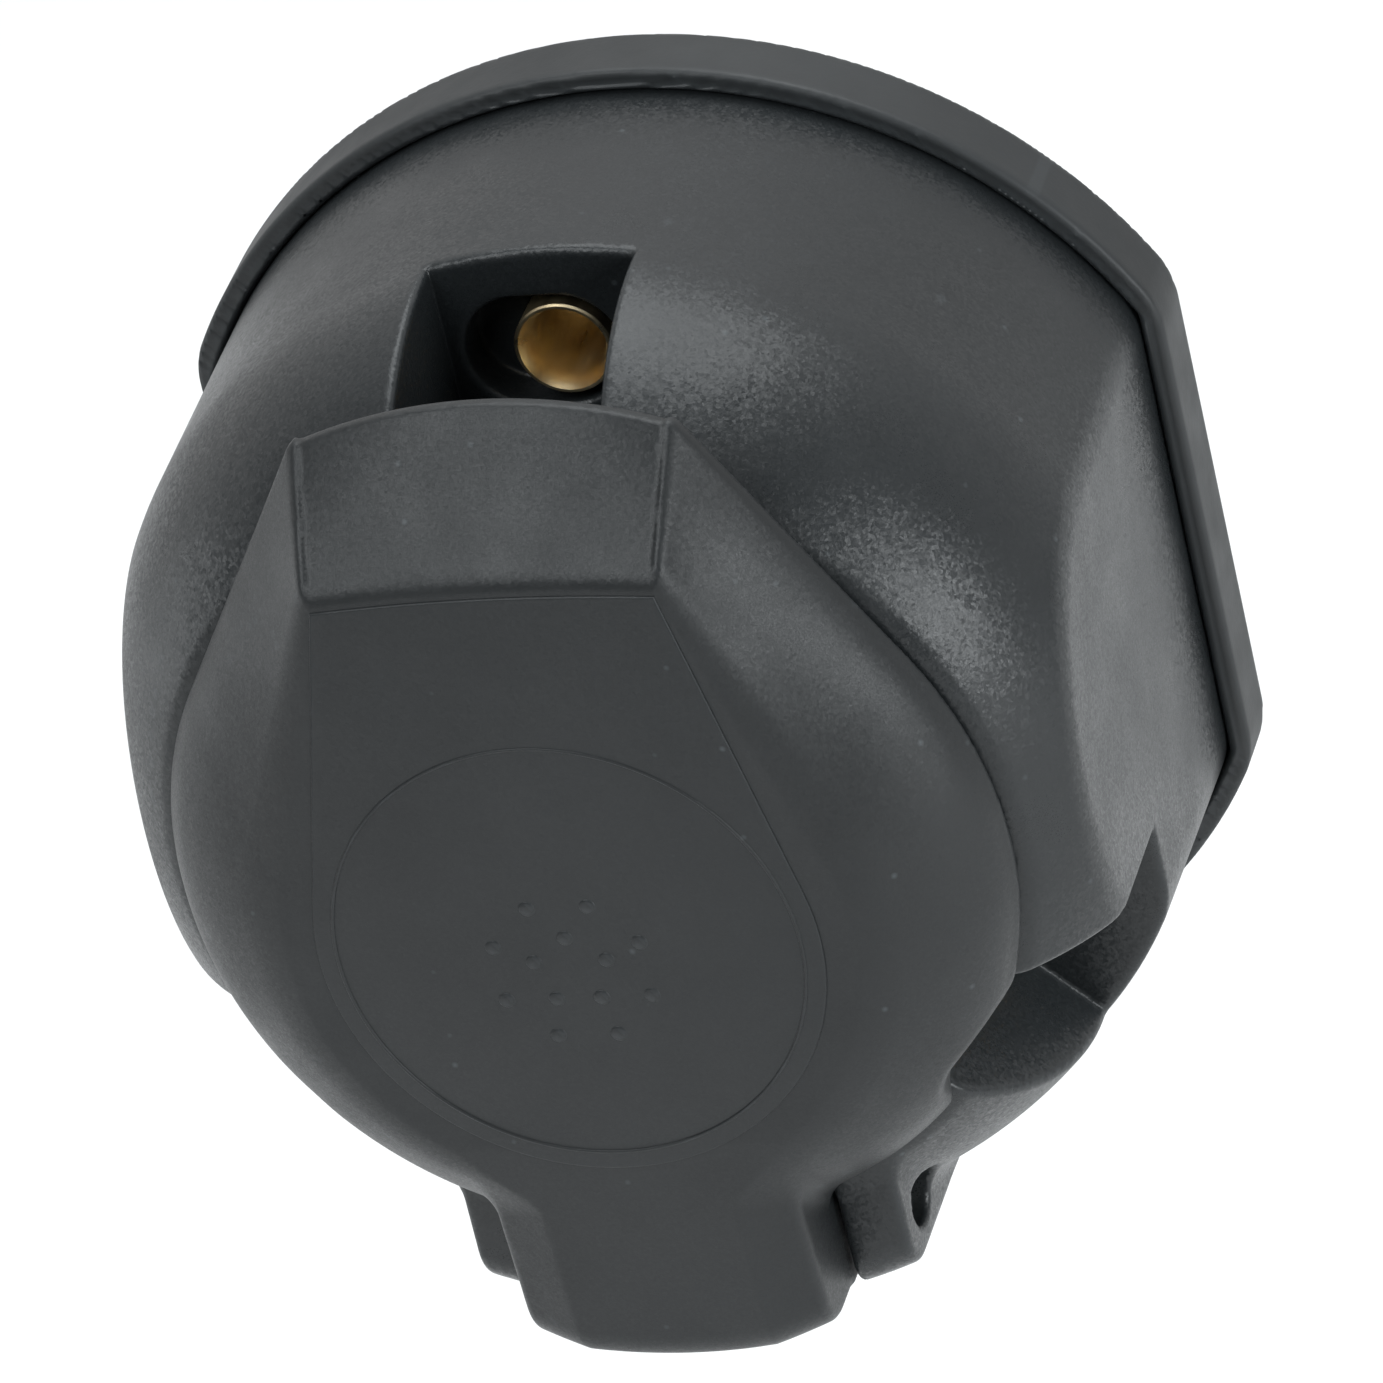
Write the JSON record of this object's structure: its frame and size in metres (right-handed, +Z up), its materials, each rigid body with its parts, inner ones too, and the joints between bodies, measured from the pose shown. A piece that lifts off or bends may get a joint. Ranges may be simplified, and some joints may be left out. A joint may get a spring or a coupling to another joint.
{
  "type": "trailer wiring socket",
  "caption": "Round trailer wiring socket with a domed plastic body, a rubber gasket behind, brass contacts inside, and a sprung lid hinged at the bottom.",
  "frame": {"origin": "centre of the mounting face, on the axis of the socket and of the three fixing holes", "axes": "+Y along the socket's axis to the rear, into the vehicle's plate, so the mouth faces -Y; +Z up, with the lid's hinge at the bottom; +X right as seen from the front"},
  "size_m": [0.071, 0.0658, 0.08],
  "materials": {
    "housing_plastic": "fine moulded grain, satin sheen",
    "lid_plastic": "fine moulded grain, matt",
    "rubber": "smooth matt rubber",
    "insert_plastic": "smooth satin",
    "brass": "turned, lightly dulled",
    "plated_steel": "zinc plated",
    "spring_steel": "drawn wire"
  },
  "bodies": {
    "socket": {"housing": "housing_plastic", "mounting_gasket": "rubber", "cable_grommet": "rubber", "contact_insert": "insert_plastic", "insert_clamp_ring": "insert_plastic", "contact_retainer": "insert_plastic", "contact_01": "brass", "contact_02": "brass", "contact_03": "brass", "contact_04": "brass", "contact_05": "brass", "contact_06": "brass", "contact_07": "brass", "contact_08": "brass", "contact_09": "brass", "contact_10": "brass", "contact_11": "brass", "contact_12": "brass", "contact_13": "brass", "terminal_screws": "plated_steel", "insert_screws": "plated_steel", "mounting_bush_top": "brass", "mounting_bush_right": "brass", "mounting_bush_left": "brass", "hinge_pin": "plated_steel", "lid_spring": "spring_steel"},
    "lid": {"lid": "lid_plastic", "lid_seal": "rubber"}
  },
  "joints": [
    {"name": "lid_hinge", "type": "hinge", "parent": "socket", "child": "lid", "pos_m": [0, -0.0387, -0.0318], "axis": [1, 0, 0], "range_deg": [0, 105], "stiffness_Nm_per_rad": 0.03, "springref_deg": -80.21, "deforming": ["lid_spring"]}
  ]
}
